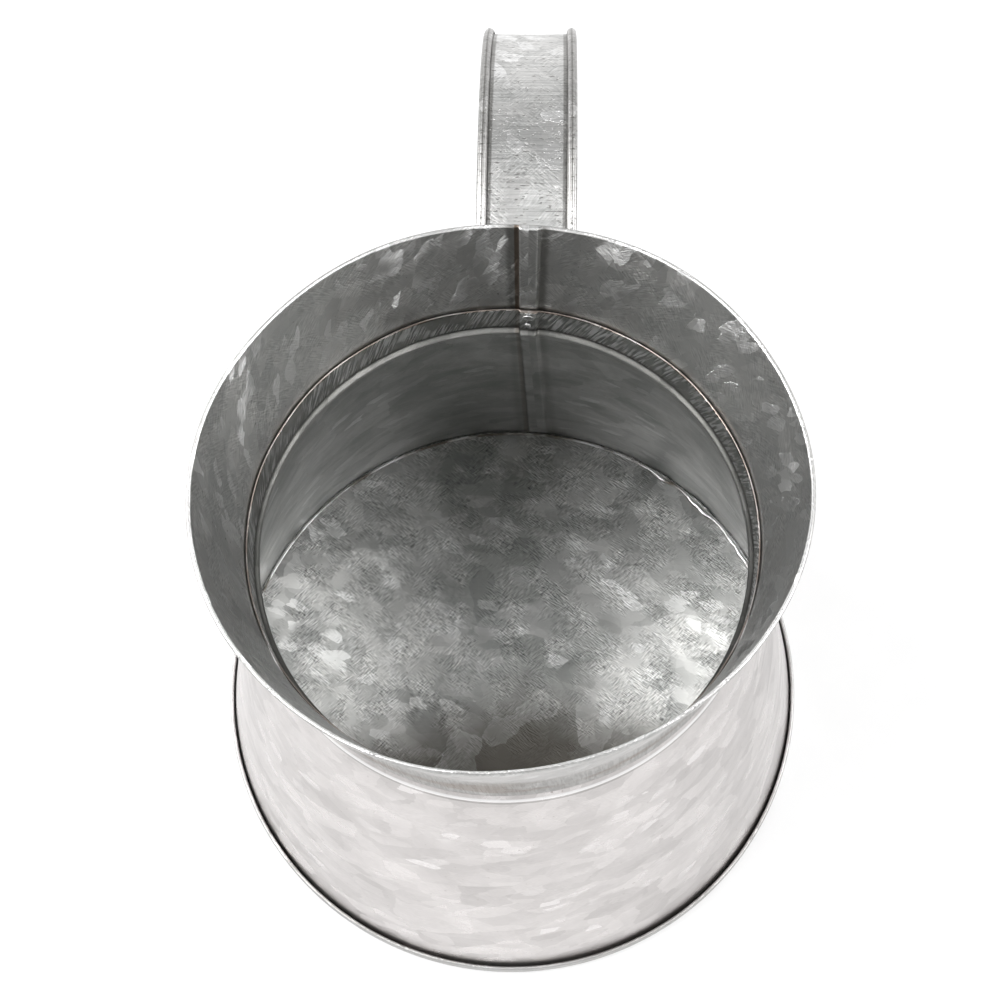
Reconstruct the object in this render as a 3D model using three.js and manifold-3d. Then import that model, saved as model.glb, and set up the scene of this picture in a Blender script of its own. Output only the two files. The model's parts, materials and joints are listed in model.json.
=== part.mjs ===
// Galvanised florist's bucket: a conical sheet-metal body on a flat bottom disc, a flared collar
// fitted round its neck, and a fixed strap handle soldered on at the back.
// Millimetres, +Z up. The origin is the centre of the flat underside, and the handle points
// along +Y.

import * as THREE from 'three';
import { mergeVertices } from 'three/addons/utils/BufferGeometryUtils.js';
import Module from 'manifold-3d';

const wasm = await Module();
wasm.setup();

// Sheet thickness, the clearance between neighbouring pieces, and the facets round the bucket
const SHEET = 0.5;
const GAP = 0.3;
const FACETS = 60;

// Bottom disc, with the folded lip that clasps the foot of the body
const BASE_RADIUS = 104.5;
const LIP_TOP = 4.4;
const LIP_FOLD_END = 1.7;
const FOLD_RADIUS = 0.4;

// Body: foot flange, cone, bead, groove and straight neck, measured to the middle of the sheet
const FLANGE_RADIUS = 103.4;
const FLANGE_HEIGHT = 1.05;
const FOOT_RADIUS = 102.1;
const CONE_TOP = [73.55, 125.5];
const BEAD = [73.95, 127.2];
const GROOVE = [70.65, 130];
const NECK_RADIUS = 72.35;
const NECK_BOTTOM = 132.4;
const NECK_TOP = 141.9;

// Collar: straight skirt over the neck, flare, and the rim with its hem folded outwards
const SKIRT_RADIUS = 73.15;
const SKIRT_BOTTOM = 132.2;
const FLARE_BOTTOM = 146.3;
const RIM_HEIGHT = 178;
const RIM_RADIUS = 80;
const HEM_HEIGHT = 5;

// The hand-formed rim is a little oval. The flare is round where it leaves the skirt.
const RIM_OVAL = 1.5;
const RIM_OVAL_AZIMUTH = 13;

// Lock seams of body and collar, in line: flush outside, standing proud inside (degrees, mm)
const SEAM_AZIMUTH = 85;
const SEAM_HALF_ANGLE = 2.2;
const SEAM_RAMP_ANGLE = 0.6;
const SEAM_RISE = 0.7;

// Strap handle: its middle plane stands beside the bucket's axis, and its edges roll over wires
const HANDLE_X = 5.9;
const HANDLE_WIDTH = 29.6;
const STRAP = 0.6;
const CURL_RADIUS = 1.7;
const CURL_LIFT = 0.7;
const CURL_START = 196;
const CURL_END = 525;
const WIRE_RADIUS = 0.85;
const TAB_LENGTH = 11;
const TAB_BEND_RADIUS = 2;
const UPPER_TAB_BOTTOM = 158;
const UPPER_ARM_HEADING = 18;
const UPPER_ARM_LENGTH = 10.7;
const LOWER_ARM_HEADING = -150;
const SHOULDER = { radius: 90, turn: -30 };
const CROWN = { radius: 55, turn: -48 };
const ELBOW_RADIUS = 34;

// Solder: the fillet round the floor, the drops on the seam and the runs beside the tabs
const FLOOR_FILLET = 1.2;
const DROP_RADIUS = 1.6;
const RUN_RADIUS = 0.8;

const GALVANISED = { color: 0xb4b7b6, roughness: 0.42, metalness: 1 };
const GALVANISED_FLOOR = { color: 0x9a9d9b, roughness: 0.45, metalness: 1 };
const STEEL_WIRE = { color: 0x9b9c9a, roughness: 0.4, metalness: 1 };
const SOLDER = { color: 0x8a8782, roughness: 0.55, metalness: 1 };

const radians = THREE.MathUtils.degToRad;
const degrees = THREE.MathUtils.radToDeg;
const point = (x, y) => new THREE.Vector2(x, y);

const bucket = new THREE.Group();

function addPiece(name, geometry, finish) {
  const piece = new THREE.Mesh(geometry, new THREE.MeshStandardMaterial(finish));
  piece.name = name;
  bucket.add(piece);
  return piece;
}

// ---- Shared shape helpers ----

// Points on an arc, both ends included. Angles are in degrees.
function arc(centre, radius, from, to, steps) {
  return Array.from({ length: steps + 1 }, (_, i) => {
    const angle = radians(from + ((to - from) * i) / steps);
    return point(centre.x + radius * Math.cos(angle), centre.y + radius * Math.sin(angle));
  });
}

// The closed outline of a sheet of even thickness, from the line along its middle.
// The first half of the outline is the side to the left of that line.
function sheetOutline(middle, thickness) {
  const normals = middle.map((_, i) => {
    const before = middle[Math.max(i - 1, 0)];
    const after = middle[Math.min(i + 1, middle.length - 1)];
    const along = after.clone().sub(before).normalize();
    return point(-along.y, along.x);
  });
  const side = (distance) => middle.map((p, i) => p.clone().addScaledVector(normals[i], distance));
  return [...side(thickness / 2), ...side(-thickness / 2).reverse()];
}

// The triangles that fill a ring of 3-D points, found in the ring's own plane.
function ringTriangles(ring) {
  const normal = new THREE.Vector3();
  ring.forEach((p, i) => normal.add(p.clone().cross(ring[(i + 1) % ring.length])));
  normal.normalize();
  const across = ring[1].clone().sub(ring[0]).projectOnPlane(normal).normalize();
  const up = normal.clone().cross(across);
  return THREE.ShapeUtils.triangulateShape(ring.map((p) => point(p.dot(across), p.dot(up))), []);
}

// A closed body skinned over rings of 3-D points: either the last ring joins the first, or
// both end rings are capped.
function loft(rings, capped) {
  const count = rings[0].length;
  const indices = [];
  const spans = capped ? rings.length - 1 : rings.length;
  for (let r = 0; r < spans; r += 1) {
    const here = r * count;
    const there = ((r + 1) % rings.length) * count;
    for (let i = 0; i < count; i += 1) {
      const j = (i + 1) % count;
      indices.push(here + i, here + j, there + j, here + i, there + j, there + i);
    }
  }
  if (capped) {
    const last = (rings.length - 1) * count;
    ringTriangles(rings[0]).forEach(([i, j, k]) => indices.push(i, k, j));
    ringTriangles(rings.at(-1)).forEach(([i, j, k]) => indices.push(last + i, last + j, last + k));
  }
  const geometry = new THREE.BufferGeometry();
  geometry.setAttribute(
    'position',
    new THREE.Float32BufferAttribute(rings.flat().flatMap((p) => [p.x, p.y, p.z]), 3),
  );
  geometry.setIndex(indices);
  geometry.computeVertexNormals();
  return geometry;
}

// A body turned round the bucket's axis from an outline of radius and height.
function turned(outline) {
  return new THREE.LatheGeometry(outline, FACETS).rotateX(Math.PI / 2);
}

function toSolid(geometry) {
  const bare = geometry.clone();
  bare.deleteAttribute('normal');
  const merged = mergeVertices(bare, 1e-4);
  return new wasm.Manifold(new wasm.Mesh({
    numProp: 3,
    vertProperties: new Float32Array(merged.getAttribute('position').array),
    triVerts: new Uint32Array(merged.getIndex().array),
  }));
}

function toGeometry(solid) {
  const mesh = solid.getMesh();
  const geometry = new THREE.BufferGeometry();
  geometry.setAttribute('position', new THREE.Float32BufferAttribute(mesh.vertProperties, 3));
  geometry.setIndex([...mesh.triVerts]);
  geometry.computeVertexNormals();
  return geometry;
}

// ---- Sheet-metal shells: bottom disc, body and collar ----

// How far the oval pushes the flare out at a height and azimuth.
function ovalShift(z, azimuth) {
  const flared = THREE.MathUtils.clamp((z - FLARE_BOTTOM) / (RIM_HEIGHT - FLARE_BOTTOM), 0, 1);
  return RIM_OVAL * flared * Math.cos(radians(2 * (azimuth - RIM_OVAL_AZIMUTH)));
}

// How far a lock seam stands in from the wall at an azimuth.
function seamShift(azimuth) {
  const outside = Math.abs(azimuth - SEAM_AZIMUTH) - SEAM_HALF_ANGLE;
  return SEAM_RISE * THREE.MathUtils.clamp(1 - outside / SEAM_RAMP_ANGLE, 0, 1);
}

const seamEdges = [-1, 1].flatMap((side) => [
  SEAM_AZIMUTH + side * SEAM_HALF_ANGLE,
  SEAM_AZIMUTH + side * (SEAM_HALF_ANGLE + SEAM_RAMP_ANGLE),
]);
const evenAzimuths = Array.from({ length: FACETS }, (_, i) => (i * 360) / FACETS)
  .filter((azimuth) => Math.abs(azimuth - SEAM_AZIMUTH) > SEAM_HALF_ANGLE + 2 * SEAM_RAMP_ANGLE);
const azimuths = [...evenAzimuths, ...seamEdges].sort((a, b) => a - b);

// A shell formed round the axis. The seam shows on the inner side between two middle points.
function formShell(middle, seamFrom, seamTo) {
  const outline = sheetOutline(middle, SHEET);
  const rings = azimuths.map((azimuth) => outline.map((p, i) => {
    const seam = i >= seamFrom && i < seamTo ? seamShift(azimuth) : 0;
    const radius = p.x + ovalShift(p.y, azimuth) - seam;
    const angle = radians(azimuth);
    return new THREE.Vector3(radius * Math.cos(angle), radius * Math.sin(angle), p.y);
  }));
  return loft(rings, false);
}

const lipRadius = BASE_RADIUS - SHEET / 2;
const discMiddle = [
  point(0, SHEET / 2),
  ...arc(point(lipRadius - 0.5, SHEET / 2 + 0.5), 0.5, -90, 0, 3),
  ...arc(point(lipRadius - FOLD_RADIUS, LIP_TOP - FOLD_RADIUS - SHEET / 2), FOLD_RADIUS, 0, 180, 4),
  point(lipRadius - 2 * FOLD_RADIUS, LIP_FOLD_END),
];
addPiece('bottom_disc', turned(sheetOutline(discMiddle, SHEET).reverse()), GALVANISED_FLOOR);

const bodyMiddle = [
  point(FLANGE_RADIUS, FLANGE_HEIGHT),
  point(FOOT_RADIUS + 0.4, FLANGE_HEIGHT),
  point(FOOT_RADIUS, FLANGE_HEIGHT + 0.5),
  point(...CONE_TOP),
  point(...BEAD),
  point((BEAD[0] + GROOVE[0]) / 2, (BEAD[1] + GROOVE[1]) / 2),
  point(...GROOVE),
  point(NECK_RADIUS - 0.4, NECK_BOTTOM - 0.9),
  point(NECK_RADIUS, NECK_BOTTOM),
  point(NECK_RADIUS, NECK_TOP),
];
addPiece('body_wall', formShell(bodyMiddle, 3, bodyMiddle.length), GALVANISED);

const rimInner = RIM_RADIUS - SHEET / 2 - 2 * FOLD_RADIUS;
const foldHeight = RIM_HEIGHT - SHEET / 2 - FOLD_RADIUS;
const flareSlope = (rimInner - SKIRT_RADIUS) / (foldHeight - FLARE_BOTTOM);
const collarMiddle = [
  point(SKIRT_RADIUS, SKIRT_BOTTOM),
  point(SKIRT_RADIUS, NECK_TOP + GAP),
  point(SKIRT_RADIUS, NECK_TOP + GAP + SEAM_RISE),
  point(SKIRT_RADIUS, FLARE_BOTTOM - 1),
  point(SKIRT_RADIUS + flareSlope, FLARE_BOTTOM + 1),
  ...arc(point(rimInner + FOLD_RADIUS, foldHeight), FOLD_RADIUS, 180, 0, 4),
  point(rimInner + 2 * FOLD_RADIUS - flareSlope * HEM_HEIGHT, RIM_HEIGHT - HEM_HEIGHT),
];
addPiece('collar', formShell(collarMiddle, 2, 6), GALVANISED);

// ---- Strap handle ----

// The y of the outer face of the body or the collar, behind the handle, at a height and an x.
function wallY(z, x) {
  const coneTop = point(...CONE_TOP);
  const coneSlope = (FOOT_RADIUS - coneTop.x) / (coneTop.y - FLANGE_HEIGHT);
  const round = z < coneTop.y
    ? coneTop.x + coneSlope * (coneTop.y - z)
    : SKIRT_RADIUS + flareSlope * Math.max(z - FLARE_BOTTOM, 0);
  const radius = round + ovalShift(z, degrees(Math.acos(x / round))) + SHEET / 2;
  return Math.sqrt(radius ** 2 - x ** 2);
}

// Walk along straight runs and bends. A station holds y, z, its heading in degrees above +Y, and
// how far the strap is wrapped round the wall there: 0 is flat across, 1 is fully wrapped.
function walk(start, moves) {
  const stations = [start];
  for (const { run = 0, radius = 0, turn = 0, wrap = 0 } of moves) {
    const steps = Math.max(1, Math.ceil(Math.abs(turn) / (radius > 10 ? 9 : 24)));
    const stepTurn = turn / steps;
    const length = run + 2 * radius * Math.sin(radians(Math.abs(stepTurn) / 2));
    for (let i = 0; i < steps; i += 1) {
      const { y, z, heading } = stations.at(-1);
      const chord = radians(heading + stepTurn / 2);
      stations.push({
        y: y + length * Math.cos(chord),
        z: z + length * Math.sin(chord),
        heading: heading + stepTurn,
        wrap,
      });
    }
  }
  return stations;
}

// A body swept along the stations. The section's x is across the handle and its y is outwards.
function sweep(stations, section) {
  const rings = [...stations].reverse().map(({ y, z, heading, wrap }) => section.map((p) => {
    const x = HANDLE_X + p.x;
    const wrapped = wallY(z, x) - wallY(z, HANDLE_X);
    return new THREE.Vector3(
      x,
      y + wrap * wrapped - p.y * Math.sin(radians(heading)),
      z + p.y * Math.cos(radians(heading)),
    );
  }));
  return loft(rings, true);
}

const flareHeading = 90 - degrees(Math.atan(flareSlope));
const coneHeading = degrees(Math.atan2(FLANGE_HEIGHT - CONE_TOP[1], FOOT_RADIUS - CONE_TOP[0]));

const upperTab = [
  { run: TAB_LENGTH, wrap: 1 },
  { radius: TAB_BEND_RADIUS, turn: UPPER_ARM_HEADING - flareHeading, wrap: 1 },
];
const loop = (lowerRun) => [
  { run: UPPER_ARM_LENGTH },
  SHOULDER,
  CROWN,
  {
    radius: ELBOW_RADIUS,
    turn: LOWER_ARM_HEADING - UPPER_ARM_HEADING - SHOULDER.turn - CROWN.turn,
  },
  { run: lowerRun },
];
const lowerTab = [
  { radius: TAB_BEND_RADIUS, turn: coneHeading - LOWER_ARM_HEADING, wrap: 1 },
  { run: TAB_LENGTH, wrap: 1 },
];
const upperEnd = {
  y: wallY(UPPER_TAB_BOTTOM, HANDLE_X) + GAP + STRAP / 2,
  z: UPPER_TAB_BOTTOM,
  heading: flareHeading,
  wrap: 1,
};
const strapMoves = (lowerRun) => [...upperTab, ...loop(lowerRun), ...lowerTab];

// The straight lower arm is as long as it takes to lay the lower tab against the body.
const tabClearance = (lowerRun) => {
  const end = walk(upperEnd, strapMoves(lowerRun)).at(-1);
  return end.y - wallY(end.z, HANDLE_X) - GAP - STRAP / 2;
};
const lowerRun = tabClearance(0) / (tabClearance(0) - tabClearance(1));
const strapStations = walk(upperEnd, strapMoves(lowerRun));
const curlFrom = walk(upperEnd, upperTab).length - 1;
const curlTo = walk(upperEnd, [...upperTab, ...loop(lowerRun)]).length;
const curlStations = strapStations.slice(curlFrom, curlTo);

const curlX = HANDLE_WIDTH / 2 - CURL_RADIUS;
const webHalfWidth = curlX - CURL_RADIUS + SHEET;
const acrossWeb = [-1, -0.6, -0.2, 0.2, 0.6, 1].map((side) => side * webHalfWidth);
const webSection = [
  ...acrossWeb.map((x) => point(x, -STRAP / 2)),
  ...[...acrossWeb].reverse().map((x) => point(x, STRAP / 2)),
];
const curlCentre = point(curlX, CURL_LIFT);
const curlSection = [
  ...arc(curlCentre, CURL_RADIUS, CURL_START, CURL_END, 11),
  ...arc(curlCentre, CURL_RADIUS - SHEET, CURL_END, CURL_START, 11),
];
const wireSection = arc(curlCentre, WIRE_RADIUS, 0, 315, 7);
const mirrored = (section) => section.map((p) => point(-p.x, p.y)).reverse();

const strap = [webSection, curlSection, mirrored(curlSection)]
  .map((section, i) => toSolid(sweep(i === 0 ? strapStations : curlStations, section)))
  .reduce((joined, solid) => joined.add(solid));
addPiece('handle_strap', toGeometry(strap), GALVANISED);
addPiece('handle_wire_right', sweep(curlStations, wireSection), STEEL_WIRE);
addPiece('handle_wire_left', sweep(curlStations, mirrored(wireSection)), STEEL_WIRE);

// ---- Solder ----

const floorTop = SHEET + GAP;
const filletRadius = FOOT_RADIUS - SHEET / 2 - GAP - 0.1;
const filletOutline = [
  point(filletRadius - FLOOR_FILLET, floorTop),
  point(filletRadius, floorTop),
  point(filletRadius - 0.1, floorTop + FLOOR_FILLET),
  point(filletRadius - FLOOR_FILLET, floorTop),
];
addPiece('solder_floor', turned(filletOutline), SOLDER);

const dropRadius = NECK_RADIUS - SHEET / 2 - SEAM_RISE - 1.5 * GAP - DROP_RADIUS / 2;
for (const [name, z] of [['solder_seam_upper', NECK_TOP - 1.5], ['solder_seam_lower', NECK_TOP - 6]]) {
  const drop = addPiece(name, new THREE.SphereGeometry(DROP_RADIUS, 10, 6), SOLDER);
  drop.scale.x = 0.5;
  drop.rotation.z = radians(SEAM_AZIMUTH);
  drop.position.set(
    dropRadius * Math.cos(radians(SEAM_AZIMUTH)),
    dropRadius * Math.sin(radians(SEAM_AZIMUTH)),
    z,
  );
}

const runX = webHalfWidth + GAP + RUN_RADIUS;
const tabMiddles = {
  upper: { z: UPPER_TAB_BOTTOM + TAB_LENGTH / 2, heading: flareHeading },
  lower: { z: strapStations.at(-1).z + TAB_LENGTH / 2, heading: coneHeading },
};
for (const [end, { z, heading }] of Object.entries(tabMiddles)) {
  for (const [side, sign] of [['left', -1], ['right', 1]]) {
    const run = addPiece(
      `solder_${end}_tab_${side}`,
      new THREE.CapsuleGeometry(RUN_RADIUS, TAB_LENGTH - 4 * RUN_RADIUS, 3, 8),
      SOLDER,
    );
    const x = HANDLE_X + sign * runX;
    run.rotation.x = radians(heading);
    run.position.set(x, wallY(z, x) + 2 * GAP + RUN_RADIUS, z);
  }
}

export default bucket;
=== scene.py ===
"""Looks of the galvanised florist's bucket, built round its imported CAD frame.

Shapes are worked out in millimetres, in the part's own frame, and written as meshes in metres.
"""
import json
import math

import bmesh
import bpy
import numpy as np
from mathutils import Matrix, Vector

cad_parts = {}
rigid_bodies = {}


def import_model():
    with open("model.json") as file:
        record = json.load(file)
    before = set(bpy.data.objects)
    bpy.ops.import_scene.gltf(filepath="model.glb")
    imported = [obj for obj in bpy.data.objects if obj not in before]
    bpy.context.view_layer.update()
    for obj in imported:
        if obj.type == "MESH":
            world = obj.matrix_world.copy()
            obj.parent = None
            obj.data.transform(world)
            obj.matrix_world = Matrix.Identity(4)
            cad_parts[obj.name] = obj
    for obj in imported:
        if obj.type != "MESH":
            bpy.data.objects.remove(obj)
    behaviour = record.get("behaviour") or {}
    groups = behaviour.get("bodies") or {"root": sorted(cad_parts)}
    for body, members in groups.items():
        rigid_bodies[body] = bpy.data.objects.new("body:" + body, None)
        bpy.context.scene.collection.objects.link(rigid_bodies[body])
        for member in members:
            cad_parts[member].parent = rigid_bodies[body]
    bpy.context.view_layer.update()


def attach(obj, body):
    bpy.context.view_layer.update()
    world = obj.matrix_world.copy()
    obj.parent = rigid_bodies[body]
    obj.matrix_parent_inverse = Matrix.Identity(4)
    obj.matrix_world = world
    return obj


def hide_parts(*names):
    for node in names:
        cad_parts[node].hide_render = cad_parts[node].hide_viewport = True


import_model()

MM = 0.001
SHEET = 0.5
GAP = 0.3

# Driving sizes, the same as the frame's but for the foot: radii and heights to the middle of
# the sheet, with angles in degrees
BASE_RADIUS = 104.5
LIP_TOP, LIP_FOLD_END = 4.4, 1.7
BEND_RADIUS, FOLD_RADIUS = 0.5, 0.4
FLANGE_RADIUS, FLANGE_HEIGHT = 103.4, 1.05
FOOT_RADIUS = 102.6  # 0.5 out from the frame's, as the crevice inside the lip is narrow
CONE_TOP = (73.55, 125.5)
BEAD = (73.95, 127.2)
GROOVE = (70.65, 130.0)
NECK_RADIUS, NECK_BOTTOM, NECK_TOP = 72.35, 132.4, 141.9
SKIRT_RADIUS, SKIRT_BOTTOM = 73.15, 132.2
FLARE_BOTTOM = 146.3
RIM_RADIUS, RIM_HEIGHT, HEM_HEIGHT = 80.0, 178.0, 5.0
RIM_OVAL, RIM_OVAL_AZIMUTH = 1.5, 13.0
SEAM_AZIMUTH, SEAM_HALF_ANGLE, SEAM_RISE = 85.0, 2.2, 0.7
HANDLE_X, HANDLE_WIDTH, STRAP = 5.9, 29.6, 0.6
CURL_RADIUS, CURL_LIFT, WIRE_RADIUS = 1.7, 0.7, 0.85
TAB_LENGTH, TAB_BEND_RADIUS, UPPER_TAB_BOTTOM = 11.0, 2.0, 158.0
UPPER_ARM_HEADING, LOWER_ARM_HEADING = 18.0, -150.0
UPPER_ARM_LENGTH = 10.7
SHOULDER_RADIUS, SHOULDER_TURN = 90.0, -30.0
CROWN_RADIUS, CROWN_TURN = 55.0, -48.0
ELBOW_RADIUS = 34.0

# Finer than the frame: the longest step along a sheet, the radius left at its corners, how far
# its free edges wave in from their tops, and the shape of a lock seam's fold and groove
STEP, CORNER = 3.0, 0.8
WAVY_RIM, WAVY_NECK = 13.0, 1.9
SEAM_FOLD_ANGLE, SEAM_RAMP_ANGLE = 0.25, 1.2
SEAM_GROOVE_ANGLE, SEAM_GROOVE_DEPTH = 0.4, 0.15
DISH_RADIUS, DISH_FADE, DISH_CENTRE = 96.0, 30.0, 12.0
LEAN_FROM, LEAN_FADE = 2.6, 1.6


# ---- Lines in the plane of radius and height ----

def arc(centre, radius, start, end, steps):
    """Points on an arc, both ends included. Angles are in degrees."""
    angles = np.radians(np.linspace(start, end, steps + 1))
    return np.stack([centre[0] + radius * np.cos(angles), centre[1] + radius * np.sin(angles)], axis=1)


def rounded(points, corner=CORNER, step=STEP):
    """The line through the points, with its corners rounded and its long runs divided."""
    points = np.array(points, float)
    line = [points[0]]
    for before, here, after in zip(points, points[1:], points[2:]):
        start, end = (
            here + (there - here) * min(0.45, corner / np.linalg.norm(there - here))
            for there in (before, after)
        )
        for t in np.linspace(0, 1, 5):
            line.append((1 - t) ** 2 * start + 2 * t * (1 - t) * here + t ** 2 * end)
    line.append(points[-1])
    divided = [line[0]]
    for a, b in zip(line, line[1:]):
        runs = max(1, math.ceil(np.linalg.norm(b - a) / step))
        divided += [a + (b - a) * i / runs for i in range(1, runs + 1)]
    return np.array(divided)


def sheet_outline(middle, thickness=SHEET):
    """The closed outline of a sheet with rounded cut edges. With each point comes its side: 1 to
    the left of the middle line, 0 to the right, and between the two on the cut edges."""
    along = np.gradient(middle, axis=0)
    along /= np.linalg.norm(along, axis=1)[:, None]
    left = np.stack([-along[:, 1], along[:, 0]], axis=1)
    half = thickness / 2

    def cut_edge(i, direction):
        away, across = direction * along[i], direction * left[i]
        turns = np.radians([30, 60, 90, 120, 150])
        return middle[i] + half * (np.outer(np.sin(turns), away) + np.outer(np.cos(turns), across))

    outline = np.concatenate([
        middle + half * left, cut_edge(-1, 1), (middle - half * left)[::-1], cut_edge(0, -1),
    ])
    fade = np.linspace(1, 0, 7)[1:-1]
    count = len(middle)
    side = np.concatenate([np.ones(count), fade, np.zeros(count), fade[::-1]])
    return outline, side


# ---- What hand forming leaves in the round sheets ----

def waves(azimuth, seed, amplitudes, twist=0.0):
    """A slow wobble round the bucket. The first amplitude has two waves in a turn, the next three,
    and so on."""
    phases = np.random.default_rng(seed).uniform(0, math.tau, len(amplitudes))
    return sum(
        amplitude * np.cos((i + 2) * azimuth + phase + twist * (i + 1))
        for i, (amplitude, phase) in enumerate(zip(amplitudes, phases))
    )


def share_of_flare(height):
    """0 up to where the collar starts to flare, and 1 at the rim."""
    return np.clip((height - FLARE_BOTTOM) / (RIM_HEIGHT - FLARE_BOTTOM), 0, 1)


def oval_shift(height, azimuth):
    """How far the oval rim stands out from a round one."""
    turned = azimuth - math.radians(RIM_OVAL_AZIMUTH)
    return RIM_OVAL * share_of_flare(height) * np.cos(2 * turned)


def degrees_from_seam(azimuth):
    """The angle from the middle of the lock seam, between -180 and 180."""
    return (np.degrees(azimuth) - SEAM_AZIMUTH + 180) % 360 - 180


def seam_shift(azimuth):
    """How far a lock seam stands in: a sharp fold with a groove beside it, and a soft ramp on
    its other side."""
    angle = degrees_from_seam(azimuth)
    half_ramp = SEAM_RAMP_ANGLE / 2
    fold = np.clip((SEAM_HALF_ANGLE - angle) / SEAM_FOLD_ANGLE, 0, 1)
    ramp = np.clip((angle + SEAM_HALF_ANGLE + half_ramp) / SEAM_RAMP_ANGLE, 0, 1)
    groove = np.exp(-((angle - SEAM_HALF_ANGLE - half_ramp) / SEAM_GROOVE_ANGLE) ** 2)
    return SEAM_RISE * fold * ramp ** 2 * (3 - 2 * ramp) - SEAM_GROOVE_DEPTH * groove


# ---- Meshes ----

def new_piece(name, mesh_data):
    """Adds a smooth piece riding on the frame, in place of the CAD node of its own name. mesh_data is
    (vertices, faces, a UV pair for each face corner, point values of the "inside" attribute).
    A second attribute, "from_seam", is the angle from the lock seam in degrees."""
    vertices, faces, uvs, inside = mesh_data
    mesh = bpy.data.meshes.new(name)
    mesh.from_pydata((vertices * MM).tolist(), [], faces)
    layer = mesh.uv_layers.new(name="sheet")
    layer.data.foreach_set("uv", (np.asarray(uvs, float) * MM).ravel())
    from_seam = degrees_from_seam(np.arctan2(vertices[:, 1], vertices[:, 0]))
    for attribute_name, values in (("inside", inside), ("from_seam", from_seam)):
        attribute = mesh.attributes.new(attribute_name, "FLOAT", "POINT")
        attribute.data.foreach_set("value", np.asarray(values, float))
    work = bmesh.new()
    work.from_mesh(mesh)
    bmesh.ops.remove_doubles(work, verts=work.verts, dist=1e-7)
    bmesh.ops.triangulate(work, faces=[face for face in work.faces if len(face.verts) > 4])
    bmesh.ops.recalc_face_normals(work, faces=work.faces)
    work.to_mesh(mesh)
    work.free()
    mesh.shade_smooth()
    piece = bpy.data.objects.new(name, mesh)
    bpy.context.scene.collection.objects.link(piece)
    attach(piece, "root")
    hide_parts(name)


def grid(rings, count, closed):
    """The quads between rings of count points, and the ring and point steps of their corners. A
    closed grid joins its last ring to its first, and an open one is capped."""
    faces, steps = [], []
    for r in range(rings if closed else rings - 1):
        for i in range(count):
            corners = ((r, i), (r, i + 1), (r + 1, i + 1), (r + 1, i))
            faces.append([(a % rings) * count + b % count for a, b in corners])
            steps += corners
    if not closed:
        for r in (0, rings - 1):
            faces.append([r * count + i for i in range(count)])
            steps += [(r, i) for i in range(count)]
    return faces, steps


def path_lengths(points, closed=False):
    """The distance along a line of points to each of them, and back to the first if closed."""
    ahead = np.roll(points, -1, axis=0) if closed else points[1:]
    steps = np.linalg.norm(ahead - points[:len(ahead)], axis=1)
    return np.concatenate([[0], np.cumsum(steps)])


def ring_azimuths():
    """Azimuths once round from the middle of the seam, close together beside it, in radians."""
    beside = 4
    near = np.arange(0, beside, 0.2)
    rest = np.linspace(beside, 360 - beside, 300)
    return np.radians(SEAM_AZIMUTH + np.concatenate([near, rest, 360 - near[:0:-1]]))


def turned_shell(name, outline, inside, shift, flat_uv=False):
    """Adds a round sheet-metal shell: the outline turned round the axis, then shifted by hand forming.
    shift(radius, height, azimuth) gives the new radius and height."""
    azimuths = ring_azimuths()
    radius, height = shift(outline[None, :, 0], outline[None, :, 1], azimuths[:, None])
    x = radius * np.cos(azimuths[:, None])
    y = radius * np.sin(azimuths[:, None])
    vertices = np.stack([x, y, np.broadcast_to(height, x.shape)], axis=-1).reshape(-1, 3)
    faces, steps = grid(len(azimuths), len(outline), closed=True)
    path = path_lengths(outline, closed=True)
    turn = np.append(azimuths, azimuths[0] + math.tau)
    girth = outline[:, 0].mean()
    if flat_uv:
        uvs = [vertices[corner][:2] for face in faces for corner in face]
    else:
        uvs = [(turn[r] * girth, path[i]) for r, i in steps]
    new_piece(name, (vertices, faces, uvs, np.tile(inside, len(azimuths))))


def swept(rings, inside):
    """Mesh data of a capped body skinned over rings of 3-D points."""
    rings = np.array(rings)
    faces, steps = grid(len(rings), rings.shape[1], closed=False)
    along = path_lengths(rings.mean(axis=1))
    around = path_lengths(rings[len(rings) // 2], closed=True)
    uvs = [(around[i], along[r]) for r, i in steps]
    return rings.reshape(-1, 3), faces, uvs, np.tile(inside, len(rings))


def joined(parts):
    """Mesh data of several bodies as one."""
    faces, start = [], 0
    for vertices, part_faces, _, _ in parts:
        faces += [[start + i for i in face] for face in part_faces]
        start += len(vertices)
    vertices, _, uvs, inside = zip(*parts)
    return np.concatenate(vertices), faces, np.concatenate(uvs), np.concatenate(inside)


# ---- Bottom disc ----

lip_radius = BASE_RADIUS - SHEET / 2
lip_inner = lip_radius - 2 * FOLD_RADIUS
fold_centre = (lip_radius - FOLD_RADIUS, LIP_TOP - FOLD_RADIUS - SHEET / 2)
bend_centre = (lip_radius - BEND_RADIUS, SHEET / 2 + BEND_RADIUS)
disc_middle = np.concatenate([
    rounded([(0, SHEET / 2), (bend_centre[0], SHEET / 2)]),
    arc(bend_centre, BEND_RADIUS, -90, 0, 6)[1:],
    arc(fold_centre, FOLD_RADIUS, 0, 180, 10),
    rounded([(lip_inner, fold_centre[1]), (lip_inner, LIP_FOLD_END)])[1:],
])
disc_outline, disc_side = sheet_outline(disc_middle)
disc_outline[:, 0] = disc_outline[:, 0].clip(min=0)


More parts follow.
